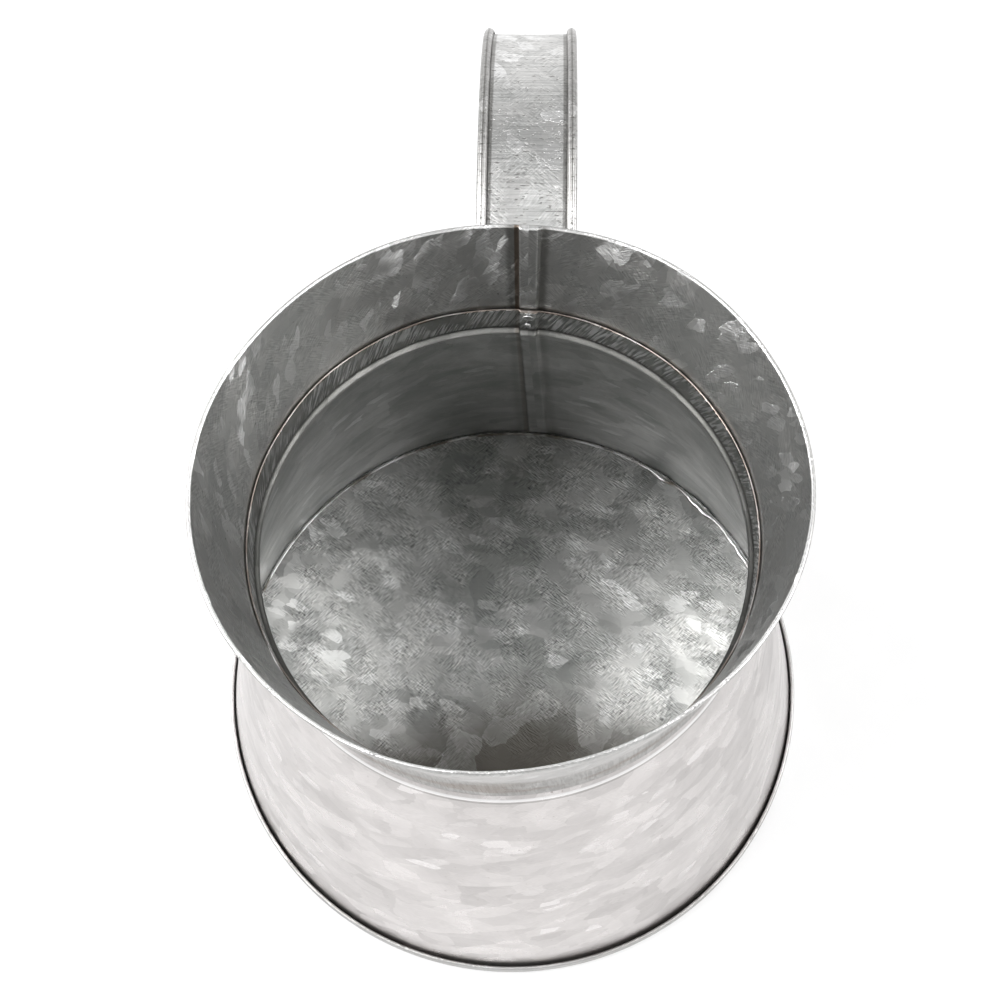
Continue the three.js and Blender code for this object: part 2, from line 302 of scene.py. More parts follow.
def dish_floor(radius, height, azimuth):
    """The floor is pressed up a little here and there, and the lip isn't quite even."""
    dished = np.clip((DISH_RADIUS - radius) / DISH_FADE, 0, 1)
    off_centre = np.clip(radius / DISH_CENTRE, 0, 1)
    dents = 0.3 + waves(azimuth + radius / 31, 11, [0.12, 0.1, 0.08])
    on_lip = np.clip((height - LEAN_FROM) / LEAN_FADE, 0, 1)
    leaning = 0.12 + waves(azimuth, 12, [0, 0.03, 0.03, 0, 0.03, 0.03])
    return radius - on_lip * leaning, height + dished * off_centre * dents


disc_inside = disc_side * (disc_outline[:, 1] < SHEET + 0.2)
turned_shell(
    "bottom_disc", disc_outline, disc_inside, dish_floor, flat_uv=True)


# ---- Body ----

body_middle = rounded([
    (FLANGE_RADIUS, FLANGE_HEIGHT),
    (FOOT_RADIUS + 0.4, FLANGE_HEIGHT),
    (FOOT_RADIUS, FLANGE_HEIGHT + 0.5),
    CONE_TOP,
    BEAD,
    ((BEAD[0] + GROOVE[0]) / 2, (BEAD[1] + GROOVE[1]) / 2),
    GROOVE,
    (NECK_RADIUS - 0.4, NECK_BOTTOM - 0.9),
    (NECK_RADIUS, NECK_BOTTOM),
    (NECK_RADIUS, NECK_TOP),
])
body_outline, body_side = sheet_outline(body_middle)
cone_slope = (FOOT_RADIUS - CONE_TOP[0]) / (CONE_TOP[1] - FLANGE_HEIGHT)
seam_bottom, seam_fade = 3, 2
body_seam = body_side * np.clip((body_outline[:, 1] - seam_bottom) / seam_fade, 0, 1)


def form_body(radius, height, azimuth):
    """Rolled by hand, so the cone is a little wavy, and its lock seam stands in."""
    cone = np.sin(np.pi * np.clip(height / CONE_TOP[1], 0, 1))
    wobble = cone * waves(azimuth, 21, [0.25, 0.2, 0.14, 0.1, 0.06], height / 45)
    near_edge = np.clip((height - NECK_TOP + WAVY_NECK) / 2, 0, 1)
    edge = near_edge * waves(azimuth, 22, [0] * 9 + [0.12, 0.1, 0.12, 0.1])
    return radius + wobble - body_seam * seam_shift(azimuth), height + edge


turned_shell("body_wall", body_outline, body_side, form_body)


# ---- Collar ----

rim_inner = RIM_RADIUS - SHEET / 2 - 2 * FOLD_RADIUS
fold_height = RIM_HEIGHT - SHEET / 2 - FOLD_RADIUS
flare_slope = (rim_inner - SKIRT_RADIUS) / (fold_height - FLARE_BOTTOM)
hem_end = (rim_inner + 2 * FOLD_RADIUS - flare_slope * HEM_HEIGHT, RIM_HEIGHT - HEM_HEIGHT)
collar_middle = np.concatenate([
    rounded([
        (SKIRT_RADIUS, SKIRT_BOTTOM),
        (SKIRT_RADIUS, NECK_TOP + GAP),
        (SKIRT_RADIUS, FLARE_BOTTOM),
        (rim_inner, fold_height),
    ], corner=2),
    arc((rim_inner + FOLD_RADIUS, fold_height), FOLD_RADIUS, 180, 0, 12)[1:],
    rounded([(rim_inner + 2 * FOLD_RADIUS, fold_height), hem_end])[1:],
])
collar_outline, collar_side = sheet_outline(collar_middle)
past_rim = np.arange(len(collar_outline)) > np.argmax(collar_outline[:, 1])
collar_inside = collar_side * ~past_rim
above_neck = np.clip((collar_outline[:, 1] - NECK_TOP - GAP) / SEAM_RISE, 0, 1)
collar_seam = collar_inside * above_neck


def form_collar(radius, height, azimuth):
    """Flared by hand into a slightly oval, wavy rim, with its lock seam standing in."""
    wobble = waves(azimuth, 31, [0, 0.2, 0.18, 0.15, 0.12, 0.1, 0.08], height / 60)
    lift = waves(azimuth, 32, [0, 0.12, 0.12, 0.1, 0.1, 0.08, 0.08])
    near_rim = np.clip((height - RIM_HEIGHT) / WAVY_RIM + 1, 0, 1)
    outwards = oval_shift(height, azimuth) + share_of_flare(height) * wobble
    return radius + outwards - collar_seam * seam_shift(azimuth), height + near_rim * lift


turned_shell("collar", collar_outline, collar_inside, form_collar)


# ---- Strap handle ----

RUN_STEP = 4
WIDE_BEND, WIDE_BEND_STEP, TIGHT_BEND_STEP = 10, 3, 12
CURL_START, CURL_END, CURL_STEP = 204, 523, 4.0
CURL_LINES, CURL_LINE_SPREAD, CURL_LINE_DEPTH = (418, 466), 7, 0.16
CURL_DRAWN_IN, CURL_THINNED = 0.16, 0.06


def wall_y(z, x):
    """The y of the outer face of the body or the collar, behind the handle."""
    if z < CONE_TOP[1]:
        middle = CONE_TOP[0] + cone_slope * (CONE_TOP[1] - z)
    else:
        middle = SKIRT_RADIUS + flare_slope * max(z - FLARE_BOTTOM, 0)
    radius = middle + oval_shift(z, math.acos(x / middle)) + SHEET / 2
    return math.sqrt(radius ** 2 - x ** 2)


def walk(start, moves):
    """Stations of (y, z, heading, wrap) along straight runs and bends, closest together in wide
    bends. A wrap of 1 lays the strap round the wall. Each move is (run, bend radius, turn in
    degrees, wrap)."""
    stations = [start]
    for run, radius, turn, wrap in moves:
        turn_step = WIDE_BEND_STEP if radius > WIDE_BEND else TIGHT_BEND_STEP
        steps = max(1, math.ceil(run / RUN_STEP), math.ceil(abs(turn) / turn_step))
        length = run / steps + 2 * radius * math.sin(math.radians(abs(turn) / steps / 2))
        for _ in range(steps):
            y, z, heading, _ = stations[-1]
            chord = math.radians(heading + turn / steps / 2)
            stations.append((
                y + length * math.cos(chord), z + length * math.sin(chord),
                heading + turn / steps, wrap,
            ))
    return stations


flare_heading = 90 - math.degrees(math.atan(flare_slope))
cone_heading = math.degrees(math.atan2(FLANGE_HEIGHT - CONE_TOP[1], FOOT_RADIUS - CONE_TOP[0]))
upper_end = (
    wall_y(UPPER_TAB_BOTTOM, HANDLE_X) + GAP + STRAP / 2, UPPER_TAB_BOTTOM, flare_heading, 1,
)
upper_tab = [
    (TAB_LENGTH, 0, 0, 1),
    (0, TAB_BEND_RADIUS, UPPER_ARM_HEADING - flare_heading, 1),
]
elbow_turn = LOWER_ARM_HEADING - UPPER_ARM_HEADING - SHOULDER_TURN - CROWN_TURN
lower_tab = [
    (0, TAB_BEND_RADIUS, cone_heading - LOWER_ARM_HEADING, 1),
    (TAB_LENGTH, 0, 0, 1),
]


def loop(lower_run):
    """The strap's moves from the bend of its upper tab to the bend of its lower one."""
    return [
        (UPPER_ARM_LENGTH, 0, 0, 0),
        (0, SHOULDER_RADIUS, SHOULDER_TURN, 0),
        (0, CROWN_RADIUS, CROWN_TURN, 0),
        (0, ELBOW_RADIUS, elbow_turn, 0),
        (lower_run, 0, 0, 0),
    ]


def tab_clearance(lower_run):
    """How far past its gap the end of the lower tab stands from the wall."""
    y, z, _, _ = walk(upper_end, upper_tab + loop(lower_run) + lower_tab)[-1]
    return y - wall_y(z, HANDLE_X) - GAP - STRAP / 2


# The straight lower arm is as long as it takes to lay the lower tab against the body
lower_run = tab_clearance(0) / (tab_clearance(0) - tab_clearance(1))
strap_stations = walk(upper_end, upper_tab + loop(lower_run) + lower_tab)
curl_from = len(walk(upper_end, upper_tab)) - 1
curl_to = len(walk(upper_end, upper_tab + loop(lower_run)))
curl_stations = strap_stations[curl_from:curl_to]


def sweep(stations, section):
    """Rings of the section along the stations. Its x is across the handle, its y is outwards."""
    rings = []
    for y, z, heading, wrap in stations:
        sine, cosine = math.sin(math.radians(heading)), math.cos(math.radians(heading))
        ring = []
        for across, out in section:
            x = HANDLE_X + across
            wrapped = wrap * (wall_y(z, x) - wall_y(z, HANDLE_X)) if wrap else 0
            ring.append((x, y + wrapped - out * sine, z + out * cosine))
        rings.append(ring)
    return rings


# The edge is rolled round its wire, with two fine lines that the rolling left along the top. It
# is drawn in a little, so that it stays inside the frame's box.
curl_x = HANDLE_WIDTH / 2 - CURL_RADIUS
curl_centre = np.array([curl_x, CURL_LIFT])
web_half_width = curl_x - CURL_RADIUS + SHEET
curl_angles = np.arange(CURL_START, CURL_END, CURL_STEP)
curl_lines = sum(np.exp(-((curl_angles - line) / CURL_LINE_SPREAD) ** 2) for line in CURL_LINES)
curl_reach = CURL_RADIUS - SHEET / 2 - CURL_DRAWN_IN - CURL_LINE_DEPTH * curl_lines
curl_turns = np.radians(curl_angles)
curl_ring = np.stack([np.cos(curl_turns), np.sin(curl_turns)], axis=1)
curl_middle = curl_centre + curl_reach[:, None] * curl_ring
curl_section, curl_side = sheet_outline(curl_middle, SHEET - CURL_THINNED)
web_section, web_side = sheet_outline(
    rounded([(-web_half_width, 0), (web_half_width, 0)], step=1), STRAP)
wire_section = arc(curl_centre, WIRE_RADIUS, 0, 350, 20)
mirror = np.array([-1, 1])

new_piece("handle_strap", joined([
    swept(sweep(strap_stations, web_section), np.zeros(len(web_side))),
    swept(sweep(curl_stations, curl_section), curl_side),
    swept(sweep(curl_stations, curl_section * mirror), curl_side),
]))
for side, flip in (("right", 1), ("left", mirror)):
    rings = sweep(curl_stations, wire_section * flip)
    new_piece(f"handle_wire_{side}", swept(rings, np.zeros(len(wire_section))))


# ---- Solder ----

FILLET, FILLET_LUMP = 0.8, 0.12
HEAP_AZIMUTH, HEAP_SPREAD, HEAP_LUMP = 48, 24, 1.8
DROP_HALF_DEPTH, DROP_CLEARANCE = 0.45, 0.4
RUN_HALF_DEPTH, RUN_HALF_WIDTH, RUN_OFFSET = 0.75, 0.85, 0.8


def lumps(angle, seed, count, sharpness):
    """Uneven build-up of solder round the floor, between 0 and 1."""
    centres = np.random.default_rng(seed).uniform(0, math.tau, count)
    sizes = np.random.default_rng(seed + 1).uniform(0.3, 1, count)
    near = np.cos(angle[:, None] - centres[None, :])
    return (sizes * np.exp(sharpness * (near - 1))).max(axis=1)


def floor_solder():
    """A thin fillet in the corner of floor and wall, heaped up at the back right."""
    angles = np.linspace(0, math.tau, 721)[:-1]
    heaped = np.exp(-((np.degrees(angles) - HEAP_AZIMUTH) / HEAP_SPREAD) ** 2)
    beads = FILLET_LUMP * lumps(angles, 41, 14, 60)
    heap = HEAP_LUMP * heaped * lumps(angles, 43, 60, 1500)
    corner_radius = FOOT_RADIUS - SHEET / 2 - GAP - 0.1
    floor_top = SHEET + GAP
    rings = []
    for angle, reach in zip(angles, FILLET + beads + heap):
        ring = [(corner_radius, floor_top)]
        ring += [
            (
                corner_radius - reach * (1 - math.sin(t)) - cone_slope * reach * math.sin(t),
                floor_top + reach * (1 - math.cos(t)),
            )
            for t in np.linspace(0, math.pi / 2, 8)
        ]
        rings.append([(r * math.cos(angle), r * math.sin(angle), z) for r, z in ring])
    vertices = np.array(rings).reshape(-1, 3)
    faces, steps = grid(len(angles), len(ring), closed=True)
    round_step, across_step = 0.88, 0.3
    uvs = [(r * round_step, i * across_step) for r, i in steps]
    return vertices, faces, uvs, np.ones(len(vertices))


def solder_lump(centre, turn, half_sizes, seed, roughness=0.14):
    """A lumpy drop or run of solder, from a fine ball that is stretched and then pitted."""
    work = bmesh.new()
    bmesh.ops.create_icosphere(work, subdivisions=5, radius=1)
    ball = np.array([vertex.co for vertex in work.verts])
    faces = [[vertex.index for vertex in face.verts] for face in work.faces]
    work.free()
    random = np.random.default_rng(seed)
    swell = np.ones(len(ball))
    for frequency in (2.2, 4.1, 7.3):
        directions = random.normal(size=(4, 3))
        directions /= np.linalg.norm(directions, axis=1)[:, None]
        phases = random.uniform(0, math.tau, 4)
        swell += roughness / frequency * np.sin(frequency * ball @ directions.T + phases).sum(axis=1)
    shape = ball * swell[:, None] * np.array(half_sizes)
    vertices = shape @ np.array(turn.to_3x3()).T + np.array(centre)
    uvs = [vertices[i][[0, 2]] for face in faces for i in face]
    return vertices, faces, uvs, np.zeros(len(vertices))


new_piece("solder_floor", floor_solder())

seam_turn = Matrix.Rotation(math.radians(SEAM_AZIMUTH), 4, "Z")
drop_radius = NECK_RADIUS - SHEET / 2 - SEAM_RISE - DROP_CLEARANCE - DROP_HALF_DEPTH
seam_drops = [("upper", 1.5, 1.8), ("lower", 6, 1.1)]
for i, (level, below_top, half_width) in enumerate(seam_drops):
    centre = seam_turn @ Vector((drop_radius, 0, NECK_TOP - below_top))
    half_sizes = (DROP_HALF_DEPTH, half_width, 1.0)
    drop = solder_lump(centre, seam_turn, half_sizes, 51 + i, roughness=0.22)
    new_piece(f"solder_seam_{level}", drop)

run_x = web_half_width + GAP + RUN_OFFSET
tab_middles = {
    "upper": (UPPER_TAB_BOTTOM + TAB_LENGTH / 2, flare_heading),
    "lower": (strap_stations[-1][1] + TAB_LENGTH / 2, cone_heading),
}
for i, (end, (z, heading)) in enumerate(tab_middles.items()):
    for side, sign in (("left", -1), ("right", 1)):
        x = HANDLE_X + sign * run_x
        centre = (x, wall_y(z, x) + 2 * GAP + RUN_HALF_DEPTH, z)
        turn = Matrix.Rotation(math.radians(heading), 4, "X")
        half_sizes = (RUN_HALF_WIDTH, TAB_LENGTH / 2, RUN_HALF_DEPTH)
        run = solder_lump(centre, turn, half_sizes, 61 + 2 * i + sign)
        new_piece(f"solder_{end}_tab_{side}", run)


# ---- Materials ----

class Graph:
    """A material being wired up. Patterns are laid out on the sheet's own UVs, in metres."""

    def __init__(self, name):
        self.material = bpy.data.materials.new(name)
        self.material.use_nodes = True
        self.tree = self.material.node_tree
        self.tree.nodes.clear()
        self.uv = self.node("UVMap", uv_map="sheet")

    def put(self, socket, value):
        """Links the socket to another node's output, or sets it to a plain value."""
        if isinstance(value, bpy.types.NodeSocket):
            self.tree.links.new(value, socket)
        else:
            socket.default_value = value

    def node(self, kind, inputs=None, output=0, **settings):
        """Adds a node and returns one of its outputs. inputs goes by socket name or number."""
        node = self.tree.nodes.new(f"ShaderNode{kind}")
        for name, value in settings.items():
            setattr(node, name, value)
        for key, value in (inputs or {}).items():
            self.put(node.inputs[key], value)
        return node.outputs[output]

    def math(self, operation, a, b=0.0, c=0.0):
        return self.node("Math", {0: a, 1: b, 2: c}, operation=operation)

    def blend(self, factor, a, b, mode="MIX"):
        """Colour a where the factor is 0 and colour b where it is 1."""
        node = self.tree.nodes.new("ShaderNodeMix")
        node.data_type = "RGBA"
        node.blend_type = mode
        node.clamp_factor = True
        colours = [socket for socket in node.inputs if socket.type == "RGBA"]
        for socket, value in zip((node.inputs[0], *colours), (factor, a, b)):
            self.put(socket, value)
        return next(socket for socket in node.outputs if socket.type == "RGBA")

    def rise(self, value, low, high):
        """0 below low, 1 above high, and smooth between them."""
        return self.node(
            "MapRange", {"Value": value, "From Min": low, "From Max": high},
            interpolation_type="SMOOTHSTEP",
        )

    def laid(self, length, width=None, angle=0.0, shift=0.0):
        """The sheet's coordinates in cells of length by width, in metres, turned by an angle."""
        turned = self.node("Mapping", {
            "Vector": self.uv, "Rotation": (0, 0, math.radians(angle)), "Location": (shift, shift, 0),
        })
        return self.node("Mapping", {
            "Vector": turned, "Scale": (1 / length, 1 / (width or length), 1),
        })

    def noise(self, where, scale=1.0, detail=3.0, roughness=0.5):
        """Soft noise round a half."""
        return self.node("TexNoise", {
            "Vector": where, "Scale": scale, "Detail": detail, "Roughness": roughness,
        })

    def warped(self, where, amount):
        """The coordinates pushed about by noise, so that crystals have ragged edges."""
        push = self.node(
            "TexNoise", {"Vector": where, "Scale": 1.5, "Detail": 3.0}, output="Color")
        centred = self.node("VectorMath", {0: push, 1: (0.5, 0.5, 0.5)}, operation="SUBTRACT")
        scaled = self.node("VectorMath", {0: centred, "Scale": amount}, operation="SCALE")
        return self.node("VectorMath", {0: where, 1: scaled}, operation="ADD")

    def crystals(self, where):
        """A random value from 0 to 1 for each crystal of the zinc, and a random direction."""
        cell = self.node("TexVoronoi", {"Vector": where, "Scale": 1.0}, output="Color")
        direction = self.node("VectorMath", {0: cell, 1: (0.5, 0.5, 0.5)}, operation="SUBTRACT")
        return self.node("SeparateColor", {0: cell}, output="Blue"), direction

    def tilted(self, normal, direction, amount):
        """The normal leaned over, as each crystal of zinc catches the light its own way."""
        push = self.node("VectorMath", {0: direction, "Scale": amount}, operation="SCALE")
        pushed = self.node("VectorMath", {0: normal, 1: push}, operation="ADD")
        return self.node("VectorMath", {0: pushed}, operation="NORMALIZE")

    def finish(self, colour, roughness, height, distance, metallic=1.0, normal=None, glow=0.0):
        """The finished material. distance is how far the bumps stand up, in metres."""
        inputs = {"Height": height, "Strength": 1.0, "Distance": distance}
        if normal:
            inputs["Normal"] = normal
        shader = self.node("BsdfPrincipled", {
            "Base Color": colour, "Metallic": metallic, "Roughness": roughness,
            "Normal": self.node("Bump", inputs), "Emission Color": grey(1.0),
            "Emission Strength": glow,
        })
        output = self.tree.nodes.new("ShaderNodeOutputMaterial")
        self.tree.links.new(shader, output.inputs["Surface"])
        return self.material


def grey(value, warmth=0.0, green=0.0):
    """A grey whose red is raised, and blue lowered, by the share warmth, and green by its own."""
    return (value * (1 + warmth), value * (1 + green), value * (1 - warmth), 1.0)


def shaded(g, colour, shade):
    """The colour made lighter or darker by a number around 1."""
    return g.blend(1.0, colour, g.node("CombineColor", {0: shade, 1: shade, 2: shade}), "MULTIPLY")


def total(g, *parts):
    """The sum of (factor, value) pairs."""
    result = 0.0
    for factor, value in parts:
        result = g.math("MULTIPLY_ADD", value, factor, result)
    return result


def galvanised(name, dark, light, flake, crystal, leaf, leaf_angle, leaf_share, brushed, hatched,
               patina, rough, lean_big, lean_leaf, details):
    """Zinc-coated steel sheet. dark, light and flake are greys; crystal is the size of the large
    spangles and leaf the (length, width) of the small bright ones; brushed and hatched are the
    strengths of the lines along the sheet and of the cross-hatched scratches; the leans are how
    far crystals of each kind tilt. details adds what only this sheet has, and returns a new
    colour and height."""
    g = Graph(name)
    inside = g.node("Attribute", output="Fac", attribute_name="inside")
    big, big_lean = g.crystals(g.warped(g.laid(crystal, crystal * 0.7, 25), 0.5))
    medium, medium_lean = g.crystals(
        g.warped(g.laid(crystal * 0.5, crystal * 0.28, leaf_angle, 3.1), 0.45))
    clouds = g.rise(g.noise(g.laid(0.025), detail=4.0, roughness=0.6), 0.32, 0.68)
    tone = total(g, (0.42, big), (0.33, medium), (0.25, clouds))
    colour = g.blend(tone, grey(dark, 0.0, 0.012), grey(light, 0.012))

    # Small bright crystals, standing alone or in groups
    leaves, leaf_lean = g.crystals(g.warped(g.laid(*leaf, leaf_angle, 7.7), 0.6))
    groups = g.rise(g.noise(g.laid(0.016, shift=1.3), detail=2.0), 0.34, 0.54)
    leaf_mask = g.math("MULTIPLY", g.rise(leaves, 1 - leaf_share, 1.12 - leaf_share), groups)
    colour = g.blend(leaf_mask, colour, grey(flake, 0.004))

    # Fine cross-hatched scratches in patches, and brush lines
    strokes = 0.0
    for angle, shift in ((38, 0.0), (-47, 2.2)):
        lines = g.noise(g.laid(0.0026, 0.0005, angle, shift), detail=1.0)
        patches = g.rise(g.noise(g.laid(0.011, shift=5 + shift), detail=2.0), 0.42, 0.58)
        strokes = g.math("MULTIPLY_ADD", g.math("SUBTRACT", lines, 0.5), patches, strokes)
    brush = g.math("SUBTRACT", g.noise(g.laid(0.02, 0.0006), detail=2.0, roughness=0.7), 0.5)
    shade = total(g, (3.0 * hatched, strokes), (2.0 * brushed, brush), (1.0, 1.0))
    colour = shaded(g, colour, shade)

    # Dull patina, stronger inside the bucket, and dark specks
    stain = g.rise(g.noise(g.laid(0.04, shift=2.7), detail=5.0, roughness=0.65), 0.35, 0.75)
    reach = g.math("MULTIPLY_ADD", inside, patina, 0.08)
    dull = g.math("MULTIPLY", g.math("MULTIPLY_ADD", stain, 0.5, 0.5), reach)
    colour = g.blend(dull, colour, PATINA)
    specks = g.rise(g.noise(g.laid(0.0016, shift=4.0), detail=1.0), 0.72, 0.8)
    colour = g.blend(g.math("MULTIPLY", specks, 0.5), colour, SPECK)

    height = total(g, (0.2, tone), (2.5 * hatched, strokes), (brushed, brush), (0.15, leaf_mask))
    colour, height = details(g, inside, colour, height)
    roughness = total(g, (-0.1, tone), (0.2, dull), (-0.05, leaf_mask), (rough, 1.0))
    normal = g.node("NewGeometry", output="Normal")
    for lean, amount in ((big_lean, lean_big), (medium_lean, 0.7 * lean_big)):
        normal = g.tilted(normal, lean, amount)
    leaf_push = g.node("VectorMath", {0: leaf_lean, "Scale": leaf_mask}, operation="SCALE")
    normal = g.tilted(normal, leaf_push, lean_leaf)
    return g.finish(colour, roughness, height, 0.00015, normal=normal)


PATINA = (0.15, 0.165, 0.15, 1.0)
SPECK = (0.16, 0.14, 0.12, 1.0)
RUST = (0.17, 0.125, 0.09, 1.0)
# Dark colour for painted shade in grooves, creases and beside seams, and for grime and nicks
SHADE_AND_GRIME = (0.07, 0.065, 0.055, 1.0)
WARM_ZINC = (0.58, 0.51, 0.50, 1.0)
# Green-grey painted shade for the dim middle of the floor
GREEN_PAINTED_SHADE = (0.13, 0.145, 0.13, 1.0)
# Brown water stains, deepened as painted shade, for the front of the floor
BROWN_STAIN_AND_SHADE = (0.13, 0.12, 0.105, 1.0)
FLUX = (0.2, 0.18, 0.15, 1.0)
WIRE_RUST = (0.22, 0.15, 0.10, 1.0)


def position(g, axis):
    """Where each point of the piece is along the axis X, Y or Z, in millimetres."""
    here = g.node("TexCoord", output="Object")
    return g.math("MULTIPLY", g.node("SeparateXYZ", {0: here}, output=axis), 1 / MM)


def band(g, value, low, high, soft):
    """1 between low and high, fading to 0 over the soft distance outside them."""
    above = g.rise(value, low - soft, low)
    below = g.rise(g.math("MULTIPLY", value, -1.0), -high - soft, -high)
    return g.math("MULTIPLY", above, below)


def common(g, first, *others):
    """The mask that is 1 only where all the masks are."""
    for other in others:
        first = g.math("MULTIPLY", first, other)
    return first


def painted(g, colour, paint, strength, *masks):
    """The colour covered by the paint where all the masks are 1. A strength of 1 hides it."""
    return g.blend(g.math("MULTIPLY", common(g, *masks), strength), colour, paint)


def seam_rust_and_shade(g, inside, colour, strength):
    """Along the lock seam: a brown line of rust in the groove, and painted shade darkening the sheet
    on both sides.
    """
    angle = g.node("Attribute", output="Fac", attribute_name="from_seam")
    ragged = total(g, (1.0, angle), (1.2, g.noise(g.laid(0.006), detail=2.0)), (-0.6, 1.0))
    beside = band(g, ragged, -3.4, 4.0, 1.6)
    off_strip = g.math("SUBTRACT", 1.0, band(g, angle, -1.9, 1.9, 0.2))
    # Painted shade on both sides of the seam's strip
    colour = painted(g, colour, SHADE_AND_GRIME, 0.55 * strength, beside, off_strip, inside)
    groove = band(g, angle, SEAM_HALF_ANGLE + 0.05, SEAM_HALF_ANGLE + 0.8, 0.3)
    return painted(g, colour, RUST, 0.8 * strength, groove, inside)


def body_details(g, inside, colour, height):
    """The neck band's roller marks, rusty cut edge and a little grime; rust in the seam's groove;
    painted shade in the grooves, under the bead and beside the seam; and painted highlights on the
    groove's inner ridge and along the bead.
    """
    z = position(g, "Z")
    outside = g.math("SUBTRACT", 1.0, inside)
    bead, groove = BEAD[1], GROOVE[1]

    on_neck = common(g, band(g, z, NECK_BOTTOM + 0.4, NECK_TOP - 0.4, 0.6), inside)
    marks = g.rise(g.noise(g.laid(0.009, 0.0009, 62, 3.3), detail=1.0), 0.42, 0.6)
    worn = g.rise(g.noise(g.laid(0.012, shift=6.1), detail=2.0), 0.34, 0.54)
    bright_marks = common(g, marks, worn, on_neck)
    colour = painted(g, colour, SHADE_AND_GRIME, 0.15, on_neck)
    colour = painted(g, colour, grey(0.95), 0.9, bright_marks)
    # Inside, painted shade from the bead up to the neck, and a painted highlight on the groove's ridge
    colour = painted(g, colour, SHADE_AND_GRIME, 0.5, band(g, z, bead - 0.2, NECK_BOTTOM - 0.4, 1.2), inside)
    colour = painted(g, colour, grey(0.7), 0.6, band(g, z, groove - 0.6, groove + 0.4, 0.3), inside)

    blotches = g.rise(g.noise(g.laid(0.014, shift=8.0), detail=3.0), 0.36, 0.56)
    cut_edge = g.rise(z, NECK_TOP - 0.6, NECK_TOP - 0.1)
    colour = g.blend(common(g, cut_edge, g.math("MULTIPLY_ADD", blotches, 0.6, 0.2)), colour, RUST)
    colour = seam_rust_and_shade(g, inside, colour, 0.4)

    colour = painted(g, colour, WARM_ZINC, 0.35, outside)
    # Outside, painted shade in the groove above the bead, a painted highlight along the bead and a
    # painted shadow under it
    colour = painted(g, colour, SHADE_AND_GRIME, 0.6, band(g, z, groove - 1, NECK_BOTTOM + 0.6, 0.6), outside)
    colour = painted(g, colour, grey(0.95), 0.6, band(g, z, bead - 0.3, bead + 0.5, 0.3), outside)
    shade_below_bead = band(g, z, CONE_TOP[1] - 0.9, CONE_TOP[1] + 0.1, 0.3)
    colour = painted(g, colour, SHADE_AND_GRIME, 0.4, shade_below_bead, outside)
    return colour, g.math("MULTIPLY_ADD", bright_marks, 2.0, height)


def collar_details(g, inside, colour, height):
    """Painted shade in the crevice at the neck, beside the seam, over the outside and under the hem's
    edge, and rust in the seam's groove; outside, the skirt's upright marks.
    """
    z = position(g, "Z")
    outside = g.math("SUBTRACT", 1.0, inside)
    # Painted shade in the crevice where the collar meets the neck's top edge
    colour = painted(g, colour, SHADE_AND_GRIME, 0.6, band(g, z, NECK_TOP - 0.4, NECK_TOP + 0.7, 1.5), inside)
    # Painted shade over the whole outside, dimming the light the rim catches
    colour = painted(g, colour, grey(0.33, 0.02), 0.6, outside)
    # Painted shadow under the hem's lower edge
    hem_shadow = band(g, z, RIM_HEIGHT - HEM_HEIGHT - 0.8, RIM_HEIGHT - HEM_HEIGHT, 0.3)
    colour = painted(g, colour, SHADE_AND_GRIME, 0.7, hem_shadow, outside)

    below_flare = g.rise(g.math("MULTIPLY", z, -1.0), -FLARE_BOTTOM - 5.7, -FLARE_BOTTOM + 5.3)
    skirt = common(g, below_flare, outside)
    marks = g.rise(g.noise(g.laid(0.0009, 0.008, 4, 2.9), detail=1.0), 0.42, 0.6)
    skirt_marks = common(g, marks, skirt)
    stains = g.rise(g.noise(g.laid(0.03, 0.006, shift=9.2), detail=4.0), 0.48, 0.62)
    colour = painted(g, colour, grey(0.25, 0.03), 0.55, skirt)
    colour = painted(g, colour, grey(0.2, 0.04), 0.5, skirt_marks)
    colour = painted(g, colour, RUST, 0.5, stains, skirt)
    colour = seam_rust_and_shade(g, inside, colour, 1.0)
    return colour, g.math("MULTIPLY_ADD", skirt_marks, -0.6, height)


def handle_details(g, inside, colour, height):
    """Duller rolled edges, painted shade in the crease where they meet the flat of the strap, and dark
    nicks.
    """
    across = g.math("ABSOLUTE", g.math("SUBTRACT", position(g, "X"), HANDLE_X))
    rolled = g.rise(across, curl_x - 1.8, curl_x - 1.3)
    nicks = g.rise(g.noise(g.laid(0.0025, 0.0006, shift=6.6), detail=1.0), 0.63, 0.7)
    colour = painted(g, colour, grey(0.22, 0.03), 0.5, rolled)
    colour = painted(g, colour, SHADE_AND_GRIME, 0.5, band(g, across, curl_x - 0.2, curl_x, 0.25))
    # Painted shade in the crease where the roll meets the flat of the strap
    colour = painted(g, colour, SHADE_AND_GRIME, 0.55, band(g, across, curl_x - 2.4, curl_x - 1.6, 0.5))
    colour = painted(g, colour, SHADE_AND_GRIME, 0.6, nicks)
    return colour, g.math("MULTIPLY_ADD", nicks, -0.6, height)


